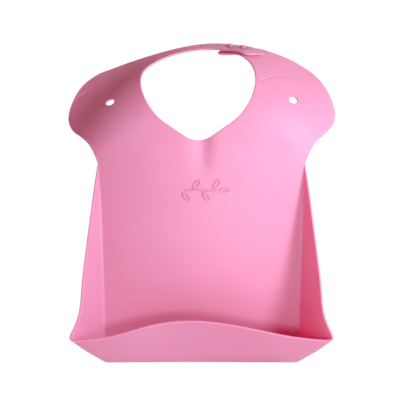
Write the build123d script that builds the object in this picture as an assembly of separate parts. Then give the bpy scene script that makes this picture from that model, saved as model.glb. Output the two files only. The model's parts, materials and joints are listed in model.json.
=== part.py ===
from build123d import *
from math import cos, pi, radians, sin
import os

# A soft silicone feeding bib with a scoop pocket, worn round a baby's neck and buttoned behind it.
# The real bib is one moulding. Here it is split where the sheet folds or flexes in use.
# Frame: X across, outer face towards -Y, Z up. The origin is the middle of the neck opening.
# Most of the sheet is drawn in its own flat coordinates: p across from the centre line, q up from
# the bottom fold. sheet_point() then bends that flat sheet into the worn shape.

os.makedirs("parts", exist_ok=True)

# ---- driving dimensions, mm and degrees ----
SHEET = 1.8  # thickness everywhere
ORIGIN_Y = 30.0  # the neck opening's middle, behind the side folds
ORIGIN_Z = 240.0  # and above the bottom fold

FOLD_BOTTOM = 84.5  # half the width between the side folds, at the bottom fold
FOLD_TOP = 88.0  # and at the armpits
BELLY = 16.0  # how far the chest bulges forwards of its side folds
BELLY_RISE = 110.0  # height over which the bulge grows from the flat bottom fold
BELLY_FADE_FROM = 175.0  # the bulge fades again from here,
BELLY_FADE_OVER = 90.0  # over this height

BEND_START = 218.0  # the sheet starts to bend backwards here on the centre line,
BEND_DROP = 0.0052  # and lower down further out, by this times p squared
BEND_RADIUS = 50.0
BEND_RADIUS_GROWTH = 8.0  # added at BEND_SPAN from the centre line
BEND_RADIUS_TILT = 8.0  # added on the right and taken off on the left: the closure pulls unevenly
BEND_SPAN = 90.0
BEND_ANGLE = 79.0  # total bend on the centre line
BEND_ANGLE_FADE = 22.0  # less bend at BEND_SPAN
BEND_WIDEST = 1.3  # the two effects of width stop growing at this many BEND_SPANs

NECK_P = -3.0  # middle of the neck opening in flat coordinates
NECK_Q = 250.0
NECK_RADIUS = 49.0
NECK_V_DEPTH = 58.0  # the opening's lower side is a V with this depth before rounding
NECK_V_TURN = 32.3  # the V's sides leave the circle at this turn from straight down
NECK_V_ROUND = 16.0

PANEL_TOP_DROP = 5.0  # the chest panel ends this far under the bend line
WING_OUTLINE = [(96.5, 190), (108, 201.5), (116.5, 218), (114.5, 240), (103.5, 267), (84, 288.5)]
HANG_HOLE = (78.5, 230.5)
HANG_HOLE_RADIUS = 3.75

ROOT_TURN = 130.0  # turn round the neck, from straight down, where each strap starts
ROOT_GAP_TURN = 0.5  # flex gap between a wing and its strap
STRAP_OUTER = 70.5  # outer radius of the straps at the back of the neck
STRAP_FLARE = 11.5  # extra outer radius at the root
RIGHT_TIP_TURN = 169.5
LEFT_TIP_TURN = 236.0
TIP_ROUND = 4.5
BUTTON_RADIUS = 60.5  # the buttons and their holes lie on this circle round the neck
BUTTON_TURNS = (203.5, 216.5)  # the two pegs sit in these two holes, counted past the left root
HOLE_TURNS = (177.5, 190.5, 203.5, 216.5)
HOLE_RADIUS = 2.4
STEM_RADIUS = 2.0
HEAD_RADIUS = 2.6
HEAD_CLEARANCE = 0.8  # between the upper strap's top face and the peg's head
HEAD_HEIGHT = 3.0
CROSSING_LIFT = 2.6  # the left strap rides this far above the right one, middle to middle
TIP_LIFT = 1.6  # and springs up this much more by its tip
LIFT_START_TURN = 168.0
LIFT_LENGTH = 16.0
TIP_LIFT_TURN = 190.0

TIP_X = 111.5  # pocket tips, where the lip meets the side gussets
TIP_Y = -50.0
TIP_Z = 27.0
LIP_TOP = (-5.0, -47.0, 44.5)  # highest point of the pocket's lip
LIP_SHOULDER = (60.0, -48.5, 39.5)
GUSSET_EDGE = [(103, -42.5, 50), (100.5, -35, 71), (97.5, -27, 100), (93, -14, 137)]
GUSSET_TOP = (89.0, -3.0, 167.0)
SEAM_SETBACK = 1.7  # each wall stops this far short of the corner seam
FOLD_SETBACK = 1.0  # the gussets start this far from the side folds
BOTTOM_SETBACK = 1.8  # the front wall starts this far from the bottom fold
BOTTOM_RISE = 1.0  # and this far above it, on its inner face

MOTIF_Q = 150.0  # centre of the raised decoration on the chest
MOTIF_HEIGHT = 0.7
MOTIF_GAP = 0.03
MOTIF_STEM = (30.0, 1.2)  # length and width of the sprig's stem
LEAF = (4.6, 2.1)  # half length and half width of a leaf
LEAF_WALL = 0.8  # the leaves are raised outlines this wide
LEAF_OUT = 5.2  # a leaf's middle from the stem
LEAF_SPACING = 8.4
LEAF_TILT = 50.0

ROWS = 24  # points along a patch


def smooth(t):
    """A soft step from 0 to 1."""
    t = min(max(t, 0.0), 1.0)
    return t * t * (3 - 2 * t)


def bend_line(p):
    return BEND_START - BEND_DROP * p**2


def panel_top(p):
    return bend_line(p) - PANEL_TOP_DROP


def fold_x(q):
    """Half the width between the side folds at height q."""
    return FOLD_BOTTOM + (FOLD_TOP - FOLD_BOTTOM) * min(q / panel_top(FOLD_TOP), 1.0)


def middle_point(p, q):
    """The sheet's middle surface, from flat coordinates."""
    wide = min(max(p / BEND_SPAN, -BEND_WIDEST), BEND_WIDEST)
    radius = BEND_RADIUS + BEND_RADIUS_GROWTH * wide**2 + BEND_RADIUS_TILT * wide
    full = radians(BEND_ANGLE - BEND_ANGLE_FADE * wide**2)
    past = max(q - bend_line(p), 0.0)
    angle = min(past / radius, full)
    straight = max(past - radius * full, 0.0)
    y = radius * (1 - cos(angle)) + straight * sin(full)
    z = min(q, bend_line(p)) + radius * sin(angle) + straight * cos(full)
    fade = 1 - smooth((q - BELLY_FADE_FROM) / BELLY_FADE_OVER)
    bulge = BELLY * smooth(q / BELLY_RISE) * fade * (1 - (p / fold_x(q)) ** 2)
    return Vector(p, y - bulge - ORIGIN_Y, z - ORIGIN_Z)


def sheet_normal(p, q):
    """Unit normal on the outer side: forwards on the chest, upwards on the straps."""
    step = 0.2
    across = middle_point(p + step, q) - middle_point(p - step, q)
    upwards = middle_point(p, q + step) - middle_point(p, q - step)
    return across.cross(upwards).normalized()


def sheet_point(p, q, lift=0.0):
    return middle_point(p, q) + sheet_normal(p, q) * lift


def patch(points):
    """A sheet of the moulding: a smooth face through rows of points, thickened to one side."""
    return Solid.thicken(Face.make_surface_from_array_of_points(points, min_deg=3), SHEET)


def lerp(a, b, t):
    return a + (b - a) * t


def steps(count):
    return [i / count for i in range(count + 1)]


# ---- neck opening and straps, round the neck's middle ----
def neck_radius(turn):
    """Edge of the opening: a circle, with straight sides down to the V."""
    return NECK_RADIUS / cos(radians(max(NECK_V_TURN - turn, 0.0)))


def round_neck(side, turn, radius):
    """Flat coordinates at a turn from straight down, on one side (-1 left, 1 right)."""
    return NECK_P + side * radius * sin(radians(turn)), NECK_Q - radius * cos(radians(turn))


def strap_radius(turn):
    back = max((180 - turn) / (180 - ROOT_TURN), 0.0)
    return STRAP_OUTER + STRAP_FLARE * back**2


def strap_lift(turn):
    """Height of the left strap's middle above the sheet where it crosses the right strap."""
    crossing = CROSSING_LIFT * smooth((turn - LIFT_START_TURN) / LIFT_LENGTH)
    return crossing + TIP_LIFT * smooth((turn - TIP_LIFT_TURN) / (LEFT_TIP_TURN - TIP_LIFT_TURN))


def wing_start_turn(side):
    """Turn at which the neck's edge meets the top of the chest panel."""
    low, high = 0.0, ROOT_TURN
    for _ in range(40):
        turn = (low + high) / 2
        p, q = round_neck(side, turn, neck_radius(turn))
        low, high = (turn, high) if q < panel_top(p) else (low, turn)
    return low


# ---- the chest and the wings ----
def front_panel():
    rows = []
    for t in steps(ROWS):
        row = []
        for s in steps(ROWS):
            top_p = lerp(-FOLD_TOP, FOLD_TOP, s)
            p = lerp(top_p * FOLD_BOTTOM / FOLD_TOP, top_p, t)
            row.append(sheet_point(p, t * panel_top(top_p), -SHEET / 2))
        rows.append(row)
    v_low = (0, -NECK_V_DEPTH)
    v_side = (NECK_RADIUS * sin(radians(NECK_V_TURN)), -NECK_RADIUS * cos(radians(NECK_V_TURN)))
    v_shape = make_face(Polyline(v_low, v_side, (-v_side[0], v_side[1]), close=True))
    v_tip = v_shape.vertices().sort_by(Axis.Y)[0]
    opening = Circle(NECK_RADIUS) + fillet(v_tip, NECK_V_ROUND)
    plane = Plane((NECK_P, 0, NECK_Q - ORIGIN_Z), x_dir=(1, 0, 0), z_dir=(0, -1, 0))
    return patch(rows) - extrude(plane * opening, ORIGIN_Z, both=True)


def wing(side):
    start = wing_start_turn(side)
    root = round_neck(side, ROOT_TURN, strap_radius(ROOT_TURN))
    corner = (side * FOLD_TOP, panel_top(FOLD_TOP))
    outline = Spline(corner, *[(side * x, q) for x, q in WING_OUTLINE], root)
    first = round_neck(side, start, neck_radius(start))
    rows = []
    for t in steps(ROWS):
        turn = lerp(start, ROOT_TURN, t)
        inner = round_neck(side, turn, neck_radius(turn))
        outer = outline @ t
        row = []
        for s in steps(ROWS):
            seam_rise = panel_top(lerp(first[0], corner[0], s)) - lerp(first[1], corner[1], s)
            p = lerp(inner[0], outer.X, s)
            q = lerp(inner[1], outer.Y, s) + (1 - t) * seam_rise
            row.append(sheet_point(p, q, -SHEET / 2))
        rows.append(row)
    p, q = side * HANG_HOLE[0], HANG_HOLE[1]
    drill = Plane(sheet_point(p, q), z_dir=sheet_normal(p, q))
    return patch(rows[::-side]) - drill * Cylinder(HANG_HOLE_RADIUS, 8 * SHEET)


# ---- the straps and their buttons ----
def strap(side, tip_turn, lift):
    rows = []
    for t in steps(2 * ROWS):
        turn = lerp(ROOT_TURN + ROOT_GAP_TURN, tip_turn, t)
        inner, outer = NECK_RADIUS, strap_radius(turn)
        row = []
        for s in steps(ROWS // 3):
            p, q = round_neck(side, turn, lerp(inner, outer, s))
            row.append(sheet_point(p, q, lift(turn) - SHEET / 2))
        rows.append(row)
    band = patch(rows[::-side])
    p, q = round_neck(side, tip_turn, BUTTON_RADIUS)
    tip = sheet_point(p, q, lift(tip_turn))
    short = [e for e in band.edges() if e.length < 1.5 * SHEET]
    corners = ShapeList(short).sort_by_distance(tip)[:2]
    return fillet(corners, TIP_ROUND)


def button_plane(turn):
    """Plane on the right strap's middle, square to the way the left strap lifts off."""
    p, q = round_neck(-1, turn, BUTTON_RADIUS)
    return Plane(sheet_point(p, q), z_dir=lift_direction())


def lift_direction():
    """The way the buttoned stretch of the left strap moves when it turns about its root."""
    inner, outer = left_root_line()
    p, q = round_neck(-1, sum(BUTTON_TURNS) / 2, BUTTON_RADIUS)
    arm = sheet_point(p, q, strap_lift(sum(BUTTON_TURNS) / 2)) - (inner + outer) * 0.5
    return arm.cross(outer - inner).normalized()


def left_root_line():
    """The two ends of the left strap's flex line, on the upper face."""
    ends = [round_neck(-1, ROOT_TURN, r) for r in (NECK_RADIUS, strap_radius(ROOT_TURN))]
    return [sheet_point(p, q, SHEET / 2) for p, q in ends]


def right_root_line():
    """The two ends of the right strap's flex line, on the lower face."""
    ends = [round_neck(1, ROOT_TURN, r) for r in (NECK_RADIUS, strap_radius(ROOT_TURN))]
    return [sheet_point(p, q, -SHEET / 2) for p, q in ends]


def left_strap():
    band = strap(-1, LEFT_TIP_TURN, strap_lift)
    for turn in HOLE_TURNS:
        band -= button_plane(turn) * Cylinder(HOLE_RADIUS, 8 * SHEET)
    return band


def peg(turn):
    """One button: a stem through the strap above, and a wider rounded head."""
    neck = strap_lift(turn) + SHEET / 2 + HEAD_CLEARANCE
    crown = neck + HEAD_HEIGHT
    side = Polyline((0, crown), (0, 0), (STEM_RADIUS, 0), (STEM_RADIUS, neck), (HEAD_RADIUS, neck + 0.6))
    top = Spline((HEAD_RADIUS, neck + 0.6), (STEM_RADIUS, crown - 0.7), (0, crown))
    profile = Plane.XZ * make_face([side, top])
    return button_plane(turn) * revolve(profile, Axis.Z)


# ---- the pocket ----
def placed(point, side=1):
    """A point measured from the middle of the bottom fold, on one side, in the part's frame."""
    return Vector(side * point[0], point[1] - ORIGIN_Y, point[2] - ORIGIN_Z)


def lip_curve():
    tip = (TIP_X - SEAM_SETBACK, TIP_Y, TIP_Z)
    return Spline(
        placed(tip, -1), placed(LIP_SHOULDER, -1), placed(LIP_TOP), placed(LIP_SHOULDER), placed(tip)
    )


def pocket_front():
    lip = lip_curve()
    rows = []
    for s in steps(ROWS):
        foot = placed((lerp(-1, 1, s) * (FOLD_BOTTOM - SEAM_SETBACK), 0, BOTTOM_RISE))
        reach = lip @ s - foot
        start = BOTTOM_SETBACK / reach.length
        rows.append([foot + reach * lerp(start, 1, t) for t in steps(ROWS // 2)])
    return patch(rows)


def gusset(side):
    tip = (TIP_X, TIP_Y, TIP_Z + SEAM_SETBACK)
    points = [tip, *GUSSET_EDGE, GUSSET_TOP]
    edge = Spline(*[placed(point, side) for point in points])
    rows = []
    for t in steps(ROWS):
        height = lerp(SEAM_SETBACK, GUSSET_TOP[2], t)
        foot = placed((fold_x(height), 0, height), side)
        reach = edge @ t - foot
        start = FOLD_SETBACK / reach.length
        rows.append([foot + reach * lerp(start, 1, s) for s in steps(ROWS // 2)])
    return patch(rows[::-side])


# ---- the raised decoration ----
def raised_motif():
    """A sprig with outlined leaves, standing on the chest panel's outer face."""
    half = MOTIF_STEM[0] / 2
    sprig = Rectangle(*MOTIF_STEM)
    for i in range(4):
        side = 1 if i % 2 else -1
        ring = Ellipse(*LEAF) - Ellipse(LEAF[0] - LEAF_WALL, LEAF[1] - LEAF_WALL)
        place = Pos((i - 1.5) * LEAF_SPACING, side * LEAF_OUT) * Rot(0, 0, side * LEAF_TILT)
        sprig += place * ring
    sprig += Pos(half + LEAF[0]) * (Ellipse(*LEAF) - Ellipse(LEAF[0] - LEAF_WALL, LEAF[1] - LEAF_WALL))
    plane = Plane((0, 0, MOTIF_Q - ORIGIN_Z), x_dir=(1, 0, 0), z_dir=(0, -1, 0))
    prism = extrude(plane * sprig, ORIGIN_Z, both=True)
    reach = half + 3 * LEAF[0]
    lift = SHEET / 2 + MOTIF_GAP
    rows = []
    for t in steps(8):
        q = MOTIF_Q + lerp(-reach, reach, t)
        rows.append([sheet_point(lerp(-reach, reach, s), q, lift) for s in steps(8)])
    slab = Solid.thicken(Face.make_surface_from_array_of_points(rows, min_deg=3), MOTIF_HEIGHT)
    return slab & prism


right_band = strap(1, RIGHT_TIP_TURN, lambda turn: 0.0)
pegs = [peg(turn) - right_band for turn in BUTTON_TURNS]

PARTS = {
    "front_panel": front_panel(),
    "left_wing": wing(-1),
    "right_wing": wing(1),
    "left_strap": left_strap(),
    "right_strap": right_band,
    "closure_pegs": Compound(children=pegs),
    "pocket_front": pocket_front(),
    "left_gusset": gusset(-1),
    "right_gusset": gusset(1),
    "raised_motif": raised_motif(),
}

for name, shape in PARTS.items():
    export_step(shape, f"parts/{name}.step")
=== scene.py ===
import json
import math

import bpy
import numpy as np
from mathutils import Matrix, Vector
from mathutils.geometry import delaunay_2d_cdt

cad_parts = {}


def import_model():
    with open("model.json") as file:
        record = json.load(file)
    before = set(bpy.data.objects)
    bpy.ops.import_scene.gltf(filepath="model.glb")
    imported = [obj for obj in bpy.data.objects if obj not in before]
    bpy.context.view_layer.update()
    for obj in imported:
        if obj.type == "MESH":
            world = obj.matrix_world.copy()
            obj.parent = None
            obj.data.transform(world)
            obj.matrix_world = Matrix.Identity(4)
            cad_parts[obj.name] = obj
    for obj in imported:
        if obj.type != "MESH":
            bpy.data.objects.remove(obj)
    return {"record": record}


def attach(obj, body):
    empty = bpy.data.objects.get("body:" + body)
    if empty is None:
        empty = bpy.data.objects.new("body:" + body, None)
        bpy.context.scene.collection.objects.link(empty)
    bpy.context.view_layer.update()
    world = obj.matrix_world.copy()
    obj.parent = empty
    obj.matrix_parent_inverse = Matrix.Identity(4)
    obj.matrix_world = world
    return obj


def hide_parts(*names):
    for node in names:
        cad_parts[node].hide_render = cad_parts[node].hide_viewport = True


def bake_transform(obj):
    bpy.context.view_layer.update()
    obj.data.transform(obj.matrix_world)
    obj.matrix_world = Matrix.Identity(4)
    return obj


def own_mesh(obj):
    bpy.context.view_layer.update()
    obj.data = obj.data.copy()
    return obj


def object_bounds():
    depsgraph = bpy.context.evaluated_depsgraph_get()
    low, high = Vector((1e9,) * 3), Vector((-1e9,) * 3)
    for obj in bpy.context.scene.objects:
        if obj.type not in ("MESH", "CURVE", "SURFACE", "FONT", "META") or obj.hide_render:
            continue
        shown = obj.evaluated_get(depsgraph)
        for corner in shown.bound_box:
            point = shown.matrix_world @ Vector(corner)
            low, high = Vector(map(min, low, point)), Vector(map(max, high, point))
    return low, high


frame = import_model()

cad_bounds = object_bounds()

# ---- driving dimensions, in millimetres, from the middle of the bottom fold ----
MM = 0.001
SHEET = 1.8
HALF = SHEET / 2
EDGE_ROUND = 0.8
RIM_ROWS = 6
FOLD_BOTTOM, FOLD_TOP = 84.5, 88.0
BELLY, BELLY_RISE, BELLY_FADE_FROM, BELLY_FADE_OVER = 16.0, 110.0, 175.0, 90.0
BEND_START, BEND_DROP = 218.0, 0.0052
BEND_RADIUS, BEND_RADIUS_GROWTH, BEND_RADIUS_TILT = 50.0, 8.0, 8.0
BEND_SPAN, BEND_ANGLE, BEND_ANGLE_FADE, BEND_ANGLE_TILT, BEND_WIDEST = 90.0, 82.0, 22.0, 8.0, 1.3
NECK_P, NECK_Q, NECK_RADIUS = -3.0, 250.0, 49.0
NECK_V_TURN, NECK_V_ROUND = 33.5, 20.0
PANEL_TOP_DROP = 5.0
WING_OUTLINE = [(96.5, 190.0), (108.0, 201.5), (116.5, 218.0), (114.5, 240.0), (103.5, 267.0), (84.0, 288.5)]
HALF_MOON = [
    (51.5, 247.5),
    (63.0, 255.0),
    (75.0, 262.0),
    (82.0, 263.0),
    (96.0, 257.0),
    (106.0, 249.0),
    (113.0, 240.0),
]
GROOVE_DEPTH, GROOVE_WIDTH = 0.28, 0.9
GROOVE_ROWS = (-1.8, -1.2, -0.6, 0.0, 0.6, 1.2, 1.8)
VALLEY_DEPTH, VALLEY_WIDTH, VALLEY_P = 3.4, 8.0, 0.5
VALLEY_START, VALLEY_RISE, VALLEY_END, VALLEY_FALL = 158.0, 32.0, 230.0, 30.0
HANG_HOLE, HANG_HOLE_RADIUS = (78.5, 230.5), 3.75
ROOT_TURN, STRAP_OUTER, STRAP_FLARE = 130.0, 70.5, 11.5
RIGHT_TIP_TURN, LEFT_TIP_TURN, TIP_ROUND = 160.5, 236.0, 4.5
STRAP_UNDERLAP, SEAM_SINK = 1.4, 0.03
BUTTON_RADIUS, BUTTON_TURNS = 60.5, (208.0, 221.5)
HOLE_TURNS, HOLE_RADIUS = (181.0, 194.5, 208.0, 221.5), 1.9
CROSSING_LIFT, CROSSING_DROP, CROSSING_TURN, CROSSING_LENGTH = 2.6, 3.8, 204.0, 25.0
STEM_RADIUS, HEAD_RADIUS, HEAD_HEIGHT, HEAD_CLEARANCE = 1.5, 2.2, 2.3, 0.6
TIP = (112.0, -50.0, 30.5)
LIP = [
    (82.0, -49.0, 33.0),
    (35.0, -48.0, 42.0),
    (-14.0, -47.0, 47.0),
    (-40.0, -48.0, 44.0),
    (-84.0, -49.0, 32.5),
]
GUSSET_EDGE = [
    (103.0, -42.5, 50.0),
    (100.5, -35.0, 71.0),
    (97.5, -27.0, 100.0),
    (93.0, -14.0, 137.0),
    (89.0, -3.0, 167.0),
]
FOLD_ROUND, FOLD_ROUND_LENGTH, FOLD_UNDERLAP = 3.2, 45.0, 1.5
PANEL_CENTRE = np.array([0.0, 90.0])
GUSSET_COLUMNS, WALL_COLUMNS = 80, 84
CURVE_ROWS, RULED_ROWS = 6, 28
MOTIF_Q, MOTIF_HEIGHT, MOTIF_STEM, MOTIF_WIDTH = 153.0, 0.9, 30.0, 1.4
LEAF, LEAF_OUT, LEAF_SPACING, LEAF_TILT = (4.1, 1.7), 5.2, 8.4, 50.0
LEAF_SIDES = (-1, 1, -1, 1)
END_LEAF_OUT = 4.6

# ---- mesh density and smoothing ----
NORMAL_STEP = 0.2
CHEST_SPACING, STRAP_SPACING, ROW_SPACING = 2.4, 1.7, 0.866
GRID_CLEARANCE, EXTRA_CLEARANCE = 0.6, 0.4
SEAM_POINTS = 14
EASE_PASSES, WHOLE_HEIGHT_PASSES, EASE_START = 9, 3, 0.2
CORNER_CORE, CORNER_FADE, TIP_FROM, TIP_OVER = 4, 6, 0.55, 0.45


def smooth(t):
    """Eases from 0 to 1 as t goes from 0 to 1."""
    t = np.clip(t, 0.0, 1.0)
    return t * t * (3 - 2 * t)


def unit(v):
    """The vectors at length 1."""
    return v / np.maximum(np.linalg.norm(v, axis=-1, keepdims=True), 1e-9)


# ---- the moulded sheet: flat coordinates (across, up) to its middle surface ----
def bend_line(p):
    """The height at which the sheet starts to bend back over the shoulders."""
    return BEND_START - BEND_DROP * p**2


def panel_top(p):
    return bend_line(p) - PANEL_TOP_DROP


def fold_x(q):
    """Half the panel's width at a height, to the gusset folds."""
    return FOLD_BOTTOM + (FOLD_TOP - FOLD_BOTTOM) * np.minimum(q / panel_top(FOLD_TOP), 1.0)


def middle(pq):
    """The sheet's middle surface: a bellied panel that bends back above the bend line."""
    p, q = pq[..., 0], pq[..., 1]
    wide = np.clip(p / BEND_SPAN, -BEND_WIDEST, BEND_WIDEST)
    radius = BEND_RADIUS + BEND_RADIUS_GROWTH * wide**2 + BEND_RADIUS_TILT * wide
    tilt = BEND_ANGLE_TILT * wide * np.maximum(1 - wide**2, 0.0)
    full = np.radians(BEND_ANGLE - BEND_ANGLE_FADE * wide**2 - tilt)
    past = np.maximum(q - bend_line(p), 0.0)
    angle = np.minimum(past / radius, full)
    straight = np.maximum(past - radius * full, 0.0)
    y = radius * (1 - np.cos(angle)) + straight * np.sin(full)
    z = np.minimum(q, bend_line(p)) + radius * np.sin(angle) + straight * np.cos(full)
    fade = 1 - smooth((q - BELLY_FADE_FROM) / BELLY_FADE_OVER)
    bulge = BELLY * smooth(q / BELLY_RISE) * fade * (1 - (p / fold_x(q)) ** 2)
    return np.stack([p, y - bulge, z], -1)


hang_hole = next(mount for mount in frame["record"]["mounts"] if mount["name"] == "hang_hole_right")
ORIGIN = middle(np.array(HANG_HOLE)) - np.array(hang_hole["pos_m"]) / MM


def normals(at, pq, step=NORMAL_STEP):
    across = at(pq + [step, 0]) - at(pq - [step, 0])
    upwards = at(pq + [0, step]) - at(pq - [0, step])
    return unit(np.cross(across, upwards))


def lifted(lift):
    """The sheet's surface raised along its normal by lift(pq)."""
    return lambda pq: middle(pq) + normals(middle, pq) * lift(pq)[..., None]


def round_neck(side, turn, radius):
    """A flat point on a circle round the neck; turns are measured from the front, to the given side."""
    turn = np.radians(turn)
    return np.stack([NECK_P + side * radius * np.sin(turn), NECK_Q - radius * np.cos(turn)], -1)


def turn_of(side, pq):
    """The turn round the neck at which a flat point lies."""
    turn = np.degrees(np.arctan2(side * (pq[..., 0] - NECK_P), NECK_Q - pq[..., 1]))
    return np.where(turn < 0, turn + 360, turn)


def strap_radius(turn):
    """The strap's outer radius, which flares into the wing at its root."""
    return STRAP_OUTER + STRAP_FLARE * np.maximum((180 - turn) / (180 - ROOT_TURN), 0.0) ** 2


def crossing(turn):
    """From 0 to 1 along the overlap, by the turn on the left strap's side."""
    return smooth((turn - CROSSING_TURN) / CROSSING_LENGTH)


def left_lift(turn):
    """How far the left strap rises over the right one."""
    return CROSSING_LIFT * crossing(turn)


def right_lift(turn):
    """How far the right strap sinks under the left one."""
    return -CROSSING_DROP * (1 - crossing(360 - turn))


# ---- curves ----
def resample(line, count):
    """The line as count even steps."""
    steps = np.linalg.norm(np.diff(line, axis=0), axis=1)
    length = np.concatenate([[0], np.cumsum(steps)])
    marks = np.linspace(0, length[-1], count + 1)
    return np.stack([np.interp(marks, length, line[:, k]) for k in range(line.shape[1])], -1)


def spline(points, count):
    """A natural cubic curve through the points, as evenly spaced samples."""
    points = np.asarray(points, float)
    gaps = np.linalg.norm(np.diff(points, axis=0), axis=1)
    knots = np.concatenate([[0], np.cumsum(gaps)])
    n = len(points)
    system, right = np.eye(n), np.zeros(points.shape)
    for i in range(1, n - 1):
        system[i, i - 1 : i + 2] = gaps[i - 1], 2 * (gaps[i - 1] + gaps[i]), gaps[i]
        right[i] = 6 * ((points[i + 1] - points[i]) / gaps[i] - (points[i] - points[i - 1]) / gaps[i - 1])
    bend = np.linalg.solve(system, right)
    x = np.linspace(0, knots[-1], 40 * n)
    i = np.clip(np.searchsorted(knots, x) - 1, 0, n - 2)
    a, b, g = (knots[i + 1] - x)[:, None], (x - knots[i])[:, None], gaps[i][:, None]
    line = (bend[i] * a**3 + bend[i + 1] * b**3) / (6 * g)
    line += (points[i] / g - bend[i] * g / 6) * a + (points[i + 1] / g - bend[i + 1] * g / 6) * b
    return resample(line, count)


def inset(line, amount):
    """The line moved to its left, and the direction that was its outer side."""
    along = unit(np.gradient(line, axis=0))
    out = np.stack([along[:, 1], -along[:, 0]], -1)
    return line - out * amount, out


# ---- meshes ----
def make_object(name, verts, faces, norms):
    """A smooth mesh object in metres, with its own normals."""
    mesh = bpy.data.meshes.new(name)
    mesh.from_pydata(((verts - ORIGIN) * MM).tolist(), [], faces)
    mesh.polygons.foreach_set("use_smooth", [True] * len(mesh.polygons))
    mesh.normals_split_custom_set_from_vertices(unit(norms).tolist())
    obj = bpy.data.objects.new(name, mesh)
    bpy.context.scene.collection.objects.link(obj)
    return obj


def skin(name, mid, up, faces, out, half, relief=None, relief_up=None):
    """A closed sheet round the middle surface, with rounded free edges where out is given."""
    count = len(mid)
    half = half[:, None]
    front = mid + up * half
    if relief is not None:
        front = front + up * relief[:, None]
    verts = [front, mid - up * half]
    norms = [up if relief_up is None else relief_up, -up]
    polys = [tuple(f) for f in faces] + [tuple(i + count for i in reversed(f)) for f in faces]
    directed = set()
    for face in faces:
        for i, a in enumerate(face):
            directed.add((a, face[(i + 1) % len(face)]))
    free = ~np.isnan(out[:, 0])
    rim = [(a, b) for a, b in directed if (b, a) not in directed and free[a] and free[b]]
    used = sorted({v for edge in rim for v in edge})
    place = {v: i for i, v in enumerate(used)}
    for k in range(1, RIM_ROWS):
        angle = math.pi * (0.5 - k / RIM_ROWS)
        bow = math.cos(angle) * out[used] * EDGE_ROUND
        rise = up[used] * (half[used] - EDGE_ROUND) * math.copysign(1, angle) * (abs(angle) > 1e-6)
        verts.append(mid[used] + bow + rise + up[used] * EDGE_ROUND * math.sin(angle))
        norms.append(math.cos(angle) * out[used] + math.sin(angle) * up[used])

    def ring(v, k):
        if k == 0:
            return v
        return v + count if k == RIM_ROWS else 2 * count + (k - 1) * len(used) + place[v]

    for a, b in rim:
        for k in range(RIM_ROWS):
            polys.append((ring(b, k), ring(a, k), ring(a, k + 1), ring(b, k + 1)))
    return make_object(name, np.concatenate(verts), polys, np.concatenate(norms))


def inside(points, loop):
    """Whether each point is inside the closed loop."""
    a, b = loop, np.roll(loop, -1, axis=0)
    x, y = points[:, :1], points[:, 1:]
    with np.errstate(divide="ignore", invalid="ignore"):
        cross = a[:, 0] + (y - a[:, 1]) * (b[:, 0] - a[:, 0]) / (b[:, 1] - a[:, 1])
    hit = ((a[:, 1] > y) != (b[:, 1] > y)) & (x < cross)
    return hit.sum(1) % 2 == 1


def circle(centre, radius, count=40):
    """A hole's edge and the directions into the hole."""
    angle = np.linspace(0, 2 * math.pi, count, endpoint=False)
    ray = np.stack([np.cos(angle), np.sin(angle)], -1)
    return centre + ray * radius, -ray


def flat_mesh(sections, holes, extra, spacing):
    """Triangles inside a flat loop of (points, outward or None) sections, less round holes."""
    loop = np.concatenate([s for s, _ in sections])
    out = np.concatenate([np.full(s.shape, np.nan) if o is None else o for s, o in sections])
    rings = [(loop, out)] + [circle(np.asarray(c, float), r + EDGE_ROUND) for c, r in holes]
    coords, outward, edges = [], [], []
    for points, away in rings:
        first = sum(len(c) for c in coords)
        n = len(points)
        edges += [(first + i, first + (i + 1) % n) for i in range(n)]
        coords.append(points)
        outward.append(away)
    low, high = loop.min(0), loop.max(0)
    ys = np.arange(low[1], high[1], spacing * ROW_SPACING)
    grid = []
    for i, y in enumerate(ys):
        xs = np.arange(low[0] + spacing * (0.5 if i % 2 else 0.0), high[0], spacing)
        grid.append(np.stack([xs, np.full(xs.shape, y)], -1))
    grid = np.concatenate(grid)
    fixed = np.concatenate(coords)
    if len(extra):
        extra = extra[inside(extra, loop)]
        extra = extra[np.linalg.norm(extra[:, None] - fixed, axis=-1).min(1) > EXTRA_CLEARANCE]
        fixed = np.concatenate([fixed, extra])
    grid = grid[inside(grid, loop)]
    gap = np.linalg.norm(grid[:, None] - fixed, axis=-1).min(1)
    grid = grid[gap > GRID_CLEARANCE * spacing]
    for c, r in holes:
        grid = grid[np.linalg.norm(grid - c, axis=1) > r + EDGE_ROUND]
    points = np.concatenate([fixed, grid])
    found = delaunay_2d_cdt([Vector(v) for v in points.tolist()], edges, [], 1, 1e-5)
    pq = np.array([tuple(v) for v in found[0]])
    away = np.full(pq.shape, np.nan)
    source = np.concatenate(outward)
    for i, ids in enumerate(found[3]):
        if ids and ids[0] < len(source):
            away[i] = source[ids[0]]
    faces = np.array(found[2])
    centre = pq[faces].mean(1)
    keep = inside(centre, loop)
    for c, r in holes:
        keep &= np.linalg.norm(centre - c, axis=1) > r + EDGE_ROUND
    return pq, faces[keep].tolist(), away


def sheet_skin(name, flat, at, relief=None, thin=None):
    """Wraps a flat mesh round the surface at(pq)."""
    pq, faces, away = flat
    up = normals(at, pq)
    free = ~np.isnan(away[:, 0])
    out = np.full((len(pq), 3), np.nan)
    reach = away[free] * NORMAL_STEP
    ahead = at(pq[free] + reach) - at(pq[free] - reach)
    out[free] = unit(ahead)
    half = np.full(len(pq), HALF) - (0 if thin is None else thin(pq))
    if relief is None:
        return skin(name, at(pq), up, faces, out, half)

    def face(flat_points):
        return at(flat_points) + normals(at, flat_points) * (HALF + relief(flat_points))[..., None]

    return skin(name, at(pq), up, faces, out, half, relief(pq), normals(face, pq, NORMAL_STEP / 2))


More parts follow.
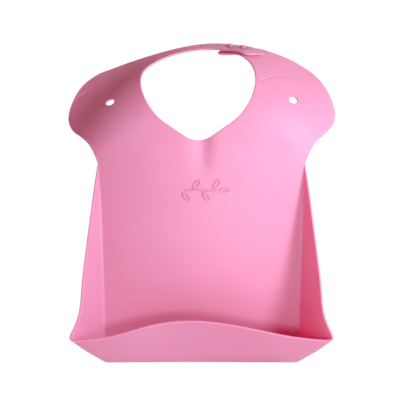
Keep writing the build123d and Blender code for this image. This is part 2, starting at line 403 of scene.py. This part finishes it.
# ---- neck edge: a circle with straight sides down to a rounded V ----
def neck_edge():
    """Right strap root, down round the V, up to the left strap root."""
    turns = np.linspace(ROOT_TURN, NECK_V_TURN, 100)
    right = round_neck(1, turns, NECK_RADIUS)
    left = round_neck(-1, turns[::-1], NECK_RADIUS)
    slope = math.radians(NECK_V_TURN)
    depth = NECK_RADIUS / math.cos(slope)
    to_centre = depth - NECK_V_ROUND / math.cos(slope)
    angle = np.linspace(slope, -slope, 24)
    ray = np.stack([np.sin(angle), -np.cos(angle)], -1)
    tip = np.array([NECK_P, NECK_Q - to_centre]) + NECK_V_ROUND * ray
    line = np.concatenate([right, tip, left])
    return resample(line, 230)


def wing_edge(side):
    """From the armpit round to the strap's root, on the right; the other way round on the left."""
    root = round_neck(1, ROOT_TURN, strap_radius(ROOT_TURN)) - [NECK_P, 0]
    points = [(FOLD_TOP, panel_top(FOLD_TOP)), *WING_OUTLINE]
    line = spline([(side * x, q) for x, q in points] + [(side * root[0] + NECK_P, root[1])], 110)
    return line if side > 0 else line[::-1]


def half_moon(side):
    """The moulded line across a wing."""
    return spline([(side * x, q) for x, q in HALF_MOON], 90)


def line_distance(pq, line):
    """The distance from flat points to a flat line."""
    flat = pq.reshape(-1, 2)
    a, b = line[:-1], line[1:]
    ab = b - a
    t = np.clip(((flat[:, None] - a) * ab).sum(-1) / (ab**2).sum(-1), 0, 1)
    gap = np.linalg.norm(flat[:, None] - (a + t[..., None] * ab), axis=-1).min(1)
    return gap.reshape(pq.shape[:-1])


def grooves(pq):
    """The moulded half-moon lines across the wings."""
    total = np.zeros(pq.shape[:-1])
    for side in (-1, 1):
        near = (side * pq[..., 0] > 45) & (pq[..., 1] > 230) & (pq[..., 1] < 270)
        if near.any():
            gap = line_distance(pq[near], half_moon(side))
            total[near] -= GROOVE_DEPTH * np.exp(-((gap / GROOVE_WIDTH) ** 2))
    return total


def valley(pq):
    """The shallow hollow that runs down from the V of the neck."""
    p, q = pq[..., 0], pq[..., 1]
    fade = smooth((q - VALLEY_START) / VALLEY_RISE) * smooth((VALLEY_END - q) / VALLEY_FALL)
    return -VALLEY_DEPTH * np.exp(-(((p - VALLEY_P) / VALLEY_WIDTH) ** 2)) * fade


chest = lifted(valley)


# ---- the catcher: columns run down one gusset, across the front and up the other ----
armpit = panel_top(FOLD_TOP)


def catcher_lines():
    """Start on the panel (flat), fold line and free edge, from the right armpit to the left."""
    heights = np.linspace(armpit, 0, GUSSET_COLUMNS + 1)
    inward = FOLD_ROUND * smooth((armpit - heights) / FOLD_ROUND_LENGTH)
    q = FOLD_ROUND + heights * (armpit - FOLD_ROUND) / armpit
    start = np.stack([fold_x(q) - inward, q], -1)
    fold = np.stack([fold_x(heights), np.zeros(heights.shape), heights], -1)
    edge = spline([(FOLD_TOP, -0.6, armpit), *GUSSET_EDGE[::-1], TIP], GUSSET_COLUMNS)
    across = np.linspace(1, -1, WALL_COLUMNS + 1)
    wall_start = np.stack([across * (start[-1, 0]), np.full(across.shape, FOLD_ROUND)], -1)
    wall_fold = np.stack([across * FOLD_BOTTOM, 0 * across, 0 * across], -1)
    mirror = np.array([-1, 1, 1])
    wall_edge = spline([TIP, *LIP, TIP * mirror], WALL_COLUMNS)
    starts = [start, wall_start[1:], (start * mirror[:2])[::-1][1:]]
    folds = [fold, wall_fold[1:], (fold * mirror)[::-1][1:]]
    edges = [edge, wall_edge[1:], (edge * mirror)[::-1][1:]]
    return [np.concatenate(part) for part in (starts, folds, edges)]


def catcher_grid():
    """Rows of middle points from under the panel, round the fold and out to the free edge."""
    start, fold, edge = catcher_lines()
    reach = edge - fold
    length = np.linalg.norm(reach, axis=1, keepdims=True)
    bend = np.minimum(FOLD_ROUND / length, 0.5)
    after = fold + reach * bend
    last = edge - reach / length * np.minimum(EDGE_ROUND, 0.45 * length)
    on_panel = chest(start)
    inner = start + unit(PANEL_CENTRE - start) * FOLD_UNDERLAP
    rows = [chest(inner), on_panel]
    for k in range(1, CURVE_ROWS):
        t = k / CURVE_ROWS
        rows.append(on_panel * (1 - t) ** 2 + fold * 2 * t * (1 - t) + after * t * t)
    for k in range(RULED_ROWS + 1):
        t = k / RULED_ROWS
        rows.append(after * (1 - t) + last * t)
    return np.stack(rows), normals(chest, inner), normals(chest, start)


def ease_corners(grid):
    """Rounds the upright corners between the gussets and the front wall, most of all at the tips."""
    share = np.concatenate([[0, 0], np.linspace(EASE_START, 1, CURVE_ROWS - 1), np.ones(RULED_ROWS + 1)])
    column = np.arange(grid.shape[1])
    near = np.zeros(grid.shape[1])
    for corner in (GUSSET_COLUMNS, GUSSET_COLUMNS + WALL_COLUMNS):
        near = np.maximum(near, 1 - smooth((abs(column - corner) - CORNER_CORE) / CORNER_FADE))
    tip_share = smooth((np.arange(len(grid)) / len(grid) - TIP_FROM) / TIP_OVER)
    for passes in range(EASE_PASSES):
        weight = share[:, None] * near * (1 if passes < WHOLE_HEIGHT_PASSES else tip_share[:, None])
        eased = grid.copy()
        eased[:, 1:-1] = (grid[:, :-2] + 2 * grid[:, 1:-1] + grid[:, 2:]) / 4
        grid += (eased - grid) * weight[..., None]


def catcher():
    """The gussets and the front wall as one sheet."""
    grid, inner_up, start_up = catcher_grid()
    ease_corners(grid)
    along = np.gradient(grid, axis=1)
    outwards = np.gradient(grid, axis=0)
    up = unit(np.cross(along, outwards))
    if up[2, GUSSET_COLUMNS + WALL_COLUMNS // 2] @ [0, -1, 0] < 0:
        up = -up
    up[0], up[1] = inner_up, start_up
    index = np.arange(grid.shape[0] * grid.shape[1]).reshape(grid.shape[:2])
    quads = np.stack([index[:-1, :-1], index[1:, :-1], index[1:, 1:], index[:-1, 1:]], -1).reshape(-1, 4)
    corner = grid.reshape(-1, 3)[quads[len(quads) // 2]]
    facing = np.cross(corner[1] - corner[0], corner[2] - corner[0])
    if facing @ up.reshape(-1, 3)[quads[len(quads) // 2][0]] < 0:
        quads = quads[:, ::-1]
    out = np.full(grid.shape, np.nan)
    away = unit(np.cross(np.gradient(grid[-1], axis=0), up[-1]))
    away *= np.sign((away * outwards[-1]).sum(-1, keepdims=True))
    out[-1] = away
    half = np.full(grid.shape[:2], HALF)
    half[0] -= SEAM_SINK
    mid, up, out = (part.reshape(-1, 3) for part in (grid, up, out))
    return skin("catcher", mid, up, quads.tolist(), out, half.reshape(-1))


# ---- chest panel and wings, one sheet ----
def seam(a, b):
    """A straight section between two points, with no free edge."""
    return a + (b - a) * np.linspace(0, 1, SEAM_POINTS)[1:-1, None], None


def chest_sheet():
    start = catcher_lines()[0]
    neck, neck_out = inset(neck_edge(), EDGE_ROUND)
    right, right_out = inset(wing_edge(1), EDGE_ROUND)
    left, left_out = inset(wing_edge(-1), EDGE_ROUND)
    sections = [
        (start[::-1][1:-1], None),
        (right, right_out),
        seam(right[-1], neck[0]),
        (neck, neck_out),
        seam(neck[-1], left[0]),
        (left, left_out),
    ]
    holes = [((side * HANG_HOLE[0], HANG_HOLE[1]), HANG_HOLE_RADIUS) for side in (-1, 1)]
    extra = []
    for side in (-1, 1):
        line = half_moon(side)
        _, away = inset(line, 0)
        extra += [line + away * offset for offset in GROOVE_ROWS]
    flat = flat_mesh(sections, holes, np.concatenate(extra), CHEST_SPACING)
    return sheet_skin("chest_and_wings", flat, chest, grooves)


# ---- straps ----
def strap(name, side, tip_turn, lift, hole_turns):
    """A neck strap, from just under its wing to its squared tip."""
    at = lifted(lambda pq: lift(turn_of(side, pq)))
    line = strap_outline(side, ROOT_TURN - STRAP_UNDERLAP, tip_turn)
    if side > 0:
        line = line[::-1]
    edge, away = inset(line, EDGE_ROUND)
    holes = [(round_neck(side, turn, BUTTON_RADIUS), HOLE_RADIUS) for turn in hole_turns]
    flat = flat_mesh([(edge, away), seam(edge[-1], edge[0])], holes, np.zeros((0, 2)), STRAP_SPACING)
    return sheet_skin(name, flat, at, thin=lambda pq: np.where(turn_of(side, pq) < ROOT_TURN, SEAM_SINK, 0.0))


def strap_outline(side, first, tip_turn):
    """From the root along the inner edge, round the squared tip and back along the outer edge."""
    lead = math.degrees(TIP_ROUND / NECK_RADIUS)
    lag = math.degrees(TIP_ROUND / STRAP_OUTER)
    inner = round_neck(side, np.linspace(first, tip_turn - lead, 60), NECK_RADIUS)
    back = np.linspace(tip_turn - lag, first, 90)
    outer = round_neck(side, back, strap_radius(back))
    angle = np.linspace(0, math.pi / 2, 9)
    rising, falling = 1 - np.sin(angle), 1 - np.cos(angle)
    inner_corner = round_neck(side, tip_turn - lead * rising, NECK_RADIUS + TIP_ROUND * falling)
    outer_corner = round_neck(side, tip_turn - lag * falling, STRAP_OUTER - TIP_ROUND * rising)
    return resample(np.concatenate([inner, inner_corner, outer_corner, outer]), 200)


def button_frame(turn):
    """The base and the axis of a button, which stands square to the way the left strap lifts off."""
    root = [round_neck(-1, ROOT_TURN, r) for r in (NECK_RADIUS, float(strap_radius(ROOT_TURN)))]
    inner, outer = [middle(pq) + normals(middle, pq) * HALF for pq in root]
    mean_turn = sum(BUTTON_TURNS) / 2
    mean = round_neck(-1, mean_turn, BUTTON_RADIUS)
    raised = middle(mean) + normals(middle, mean) * left_lift(mean_turn)
    axis = unit(np.cross(raised - (inner + outer) / 2, outer - inner))
    return middle(round_neck(-1, turn, BUTTON_RADIUS)), axis


def button(turn):
    """A moulded button: a flared foot, a stem and a domed head with a rounded shoulder."""
    base, axis = button_frame(turn)
    foot = float(right_lift(360.0 - turn)) + HALF - 0.1
    neck = float(left_lift(turn)) + HALF + HEAD_CLEARANCE
    crown = neck + HEAD_HEIGHT
    stem, head = STEM_RADIUS, HEAD_RADIUS
    post = [
        (stem + 0.9, foot),
        (stem + 0.15, foot + 0.5),
        (stem, foot + 0.9),
        (stem, neck - 0.2),
        (stem + 0.2, neck),
    ]
    dome = [
        (stem + 0.2, neck),
        (head, neck + 0.45),
        (head - 0.08, neck + 1.1),
        (head - 0.5, crown - 0.45),
        (0.9, crown - 0.08),
        (0.02, crown),
    ]
    profile = np.concatenate([spline(post, 14), spline(dome, 26)[1:]])
    side = unit(np.cross(axis, [1.0, 0.2, 0.1]))
    other = np.cross(axis, side)
    slope = np.gradient(profile, axis=0)
    facing = unit(np.stack([slope[:, 1], -slope[:, 0]], -1))
    count = 40
    angle = np.linspace(0, 2 * math.pi, count, endpoint=False)
    ray = np.cos(angle)[:, None] * side + np.sin(angle)[:, None] * other
    verts = base + profile[:, None, :1] * ray + profile[:, None, 1:] * axis
    norms = facing[:, None, :1] * ray + facing[:, None, 1:] * axis
    index = np.arange(len(profile) * count).reshape(len(profile), count)
    turned = np.roll(index, -1, axis=1)
    faces = np.stack([index[:-1], turned[:-1], turned[1:], index[1:]], -1).reshape(-1, 4)
    return make_object(f"button_{int(turn)}", verts.reshape(-1, 3), faces.tolist(), norms.reshape(-1, 3))


# ---- the raised sprig ----
def ridge(pq, closed):
    """A half-round raised line on the chest along flat points: vertices, faces and normals."""
    around = 9
    angle = np.linspace(0, math.pi, around)
    if closed:
        along = unit(np.roll(pq, -1, axis=0) - np.roll(pq, 1, axis=0))
        size = np.ones(len(pq))
    else:
        along = unit(np.gradient(pq, axis=0))
        ends = np.minimum(np.arange(len(pq)), np.arange(len(pq))[::-1]) / 6
        size = np.sqrt(1 - (1 - np.clip(ends + 0.02, 0, 1)) ** 2)
    out = np.stack([along[:, 1], -along[:, 0]], -1)
    spread = MOTIF_WIDTH / 2 * np.cos(angle)[None, :, None] * out[:, None] * size[:, None, None]
    foot = pq[:, None] + spread
    rise = MOTIF_HEIGHT * np.sin(angle)[None, :] * size[:, None] - 0.05
    up = normals(chest, foot)
    verts = chest(foot) + up * (HALF + rise)[..., None]
    across = np.gradient(verts, axis=1)
    ahead = (np.roll(verts, -1, 0) - np.roll(verts, 1, 0)) if closed else np.gradient(verts, axis=0)
    norms = unit(np.cross(across, ahead))
    if (norms * up).sum() < 0:
        norms = -norms
    index = np.arange(verts.shape[0] * around).reshape(-1, around)
    following = np.roll(index, -1, axis=0) if closed else index[1:]
    index = index if closed else index[:-1]
    faces = np.stack([index[:, :-1], following[:, :-1], following[:, 1:], index[:, 1:]], -1).reshape(-1, 4)
    if (np.cross(verts[0, 4] - verts[0, 3], verts[1, 3] - verts[0, 3]) @ up[0, 4]) > 0:
        faces = faces[:, ::-1]
    return verts.reshape(-1, 3), faces, norms.reshape(-1, 3)


def leaf(p, q, tilt):
    """A leaf's outline round a flat point."""
    tilt = math.radians(tilt)
    angle = np.linspace(0, 2 * math.pi, 56, endpoint=False)
    x, y = LEAF[0] * np.cos(angle), LEAF[1] * np.sin(angle)
    turned = [x * math.cos(tilt) - y * math.sin(tilt), x * math.sin(tilt) + y * math.cos(tilt)]
    return np.array([p, q]) + np.stack(turned, -1)


def sprig():
    """A stem with a leaf at its end and leaves on both sides, all as raised lines."""
    stem = np.stack([np.linspace(-MOTIF_STEM / 2, MOTIF_STEM / 2, 60), np.full(60, MOTIF_Q)], -1)
    lines = [(stem, False)]
    for i, side in enumerate(LEAF_SIDES):
        lines.append((leaf((i - 1.5) * LEAF_SPACING, MOTIF_Q + side * LEAF_OUT, side * LEAF_TILT), True))
    lines.append((leaf(MOTIF_STEM / 2 + END_LEAF_OUT, MOTIF_Q, 0), True))
    verts, faces, norms, first = [], [], [], 0
    for line, closed in lines:
        v, f, n = ridge(line, closed)
        verts.append(v)
        norms.append(n)
        faces += (f + first).tolist()
        first += len(v)
    return make_object("leaf_sprig", np.concatenate(verts), faces, np.concatenate(norms))


# ---- silicone ----
def silicone():
    """Satin silicone with a fine grain, which lets some light through."""
    material = bpy.data.materials.new("silicone")
    material.use_nodes = True
    nodes, links = material.node_tree.nodes, material.node_tree.links
    nodes.clear()
    output = nodes.new("ShaderNodeOutputMaterial")
    surface = nodes.new("ShaderNodeBsdfPrincipled")
    through = nodes.new("ShaderNodeBsdfTranslucent")
    blend = nodes.new("ShaderNodeMixShader")
    coords = nodes.new("ShaderNodeTexCoord")

    cloud = nodes.new("ShaderNodeTexNoise")
    cloud.inputs["Scale"].default_value = 28.0
    cloud.inputs["Detail"].default_value = 3.0
    tint = nodes.new("ShaderNodeValToRGB")
    tint.color_ramp.elements[0].position = 0.3
    tint.color_ramp.elements[0].color = (0.70, 0.375, 0.605, 1)
    tint.color_ramp.elements[1].position = 0.7
    tint.color_ramp.elements[1].color = (0.725, 0.395, 0.63, 1)
    grain = nodes.new("ShaderNodeTexNoise")
    grain.inputs["Scale"].default_value = 2600.0
    grain.inputs["Detail"].default_value = 4.0
    satin = nodes.new("ShaderNodeMapRange")
    satin.inputs["From Min"].default_value = 0.3
    satin.inputs["From Max"].default_value = 0.7
    satin.inputs["To Min"].default_value = 0.46
    satin.inputs["To Max"].default_value = 0.56
    bump = nodes.new("ShaderNodeBump")
    bump.inputs["Strength"].default_value = 0.12
    bump.inputs["Distance"].default_value = 0.0001

    links.new(coords.outputs["Object"], cloud.inputs["Vector"])
    links.new(coords.outputs["Object"], grain.inputs["Vector"])
    links.new(cloud.outputs["Fac"], tint.inputs["Fac"])
    links.new(cloud.outputs["Fac"], satin.inputs["Value"])
    links.new(grain.outputs["Fac"], bump.inputs["Height"])
    links.new(tint.outputs["Color"], surface.inputs["Base Color"])
    links.new(satin.outputs["Result"], surface.inputs["Roughness"])
    links.new(bump.outputs["Normal"], surface.inputs["Normal"])
    surface.inputs["IOR"].default_value = 1.41
    surface.inputs["Sheen Weight"].default_value = 0.1
    surface.inputs["Sheen Roughness"].default_value = 0.4
    through.inputs["Color"].default_value = (0.93, 0.11, 0.27, 1)
    blend.inputs["Fac"].default_value = 0.46
    links.new(surface.outputs["BSDF"], blend.inputs[1])
    links.new(through.outputs["BSDF"], blend.inputs[2])
    links.new(blend.outputs["Shader"], output.inputs["Surface"])
    return material


def finish_piece(obj, nodes):
    """Gives a piece its material and hides the CAD nodes it stands for."""
    obj.data.materials.append(pink)
    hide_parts(*nodes)
    return obj


pink = silicone()

body = finish_piece(chest_sheet(), ["front_panel", "left_wing", "right_wing"])
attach(body, "bib")
pocket = finish_piece(catcher(), ["pocket_front", "left_gusset", "right_gusset"])
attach(pocket, "bib")
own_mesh(pocket)


upper = finish_piece(strap("left_strap_band", -1, LEFT_TIP_TURN, left_lift, HOLE_TURNS), ["left_strap"])
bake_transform(upper)
lower = finish_piece(strap("right_strap_band", 1, RIGHT_TIP_TURN, right_lift, ()), ["right_strap"])
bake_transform(lower)
for turn in BUTTON_TURNS:
    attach(finish_piece(button(turn), ["closure_pegs"]), "lower_strap")
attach(finish_piece(sprig(), ["raised_motif"]), "bib")


# ---- floor, backdrop, light and camera ----
FLOOR_GAP = 0.0004
PAPER_GLOW = 0.9
STUDIO_FILL, STUDIO_GLOSS = 0.03, 0.6
CAMERA_ELEVATION, CAMERA_DISTANCE, CAMERA_LENS = math.radians(8), 1.3, 134.5
CAMERA_AIM, CAMERA_RIGHT, CAMERA_UP = Vector((0, -0.010, -0.103)), -0.0013, 0.0026


def stage():
    """A pale paper sweep that touches the bib's lowest edge and rises far behind it."""
    low = cad_bounds[0][2] - FLOOR_GAP
    profile = [(-2.2, 0.0), (1.0, 0.0), (1.5, 0.02), (1.9, 0.12), (2.2, 0.4), (2.3, 0.9), (2.3, 3.0)]
    path = spline([(y, z) for y, z in profile], 60)
    verts, faces = [], []
    for i, (y, z) in enumerate(path):
        verts += [(-4, y, low + z), (4, y, low + z)]
        if i:
            faces.append((2 * i - 2, 2 * i - 1, 2 * i + 1, 2 * i))
    mesh = bpy.data.meshes.new("floor")
    mesh.from_pydata(verts, [], faces)
    mesh.polygons.foreach_set("use_smooth", [True] * len(mesh.polygons))
    floor = bpy.data.objects.new("floor", mesh)
    bpy.context.scene.collection.objects.link(floor)
    material = bpy.data.materials.new("paper")
    material.use_nodes = True
    nodes, links = material.node_tree.nodes, material.node_tree.links
    surface = nodes["Principled BSDF"]
    surface.inputs["Base Color"].default_value = (0.9, 0.9, 0.9, 1)
    surface.inputs["Emission Color"].default_value = (1, 1, 1, 1)
    surface.inputs["Emission Strength"].default_value = 0.30
    surface.inputs["Roughness"].default_value = 0.9
    glow = nodes.new("ShaderNodeEmission")
    glow.inputs["Strength"].default_value = 1.05
    seen = nodes.new("ShaderNodeLightPath")
    share = nodes.new("ShaderNodeMath")
    share.operation = "MULTIPLY"
    share.inputs[1].default_value = PAPER_GLOW
    mix = nodes.new("ShaderNodeMixShader")
    links.new(seen.outputs["Is Camera Ray"], share.inputs[0])
    links.new(share.outputs["Value"], mix.inputs["Fac"])
    links.new(surface.outputs["BSDF"], mix.inputs[1])
    links.new(glow.outputs["Emission"], mix.inputs[2])
    links.new(mix.outputs["Shader"], nodes["Material Output"].inputs["Surface"])
    mesh.materials.append(material)


def area(name, azimuth, elevation, distance, size, power):
    """A soft light aimed at the bib's middle; azimuth is measured from the front, to the right."""
    light = bpy.data.lights.new(name, "AREA")
    light.shape = "DISK"
    light.size = size
    light.energy = power
    obj = bpy.data.objects.new(name, light)
    bpy.context.scene.collection.objects.link(obj)
    a, e = math.radians(azimuth), math.radians(elevation)
    aim = Vector((0, -0.02, -0.1))
    ray = Vector((math.sin(a) * math.cos(e), -math.cos(a) * math.cos(e), math.sin(e)))
    obj.location = aim + ray * distance
    obj.rotation_euler = ray.to_track_quat("Z", "Y").to_euler()


def world():
    """White where the camera or a reflection sees it, and a faint fill elsewhere."""
    surroundings = bpy.data.worlds.new("studio")
    bpy.context.scene.world = surroundings
    surroundings.use_nodes = True
    background = surroundings.node_tree.nodes["Background"]
    background.inputs["Color"].default_value = (1, 1, 1, 1)
    links = surroundings.node_tree.links
    ray = surroundings.node_tree.nodes.new("ShaderNodeLightPath")
    level = surroundings.node_tree.nodes.new("ShaderNodeMath")
    level.operation = "MULTIPLY_ADD"
    level.inputs[1].default_value = STUDIO_GLOSS
    level.inputs[2].default_value = STUDIO_FILL
    seen = surroundings.node_tree.nodes.new("ShaderNodeMath")
    links.new(ray.outputs["Is Glossy Ray"], level.inputs[0])
    links.new(ray.outputs["Is Camera Ray"], seen.inputs[0])
    links.new(level.outputs["Value"], seen.inputs[1])
    links.new(seen.outputs["Value"], background.inputs["Strength"])


def camera():
    """Square to the front, from a little above."""
    ray = Vector((0, -math.cos(CAMERA_ELEVATION), math.sin(CAMERA_ELEVATION)))
    data = bpy.data.cameras.new("camera")
    data.lens = CAMERA_LENS
    data.sensor_width = 36
    obj = bpy.data.objects.new("camera", data)
    bpy.context.scene.collection.objects.link(obj)
    rotation = ray.to_track_quat("Z", "Y")
    right, up = rotation @ Vector((1, 0, 0)), rotation @ Vector((0, 1, 0))
    target = CAMERA_AIM + right * CAMERA_RIGHT + up * CAMERA_UP
    obj.location = target + ray * CAMERA_DISTANCE
    obj.rotation_euler = rotation.to_euler()
    bpy.context.scene.camera = obj


stage()
world()
area("key", 52, 24, 1.3, 0.4, 20.5)
area("side", 97, -2, 1.4, 0.5, 8)
area("back", 165, 40, 1.5, 1.0, 3)
area("low", 8, -4, 1.4, 0.4, 14)
camera()
bpy.context.scene.view_settings.view_transform = "Standard"
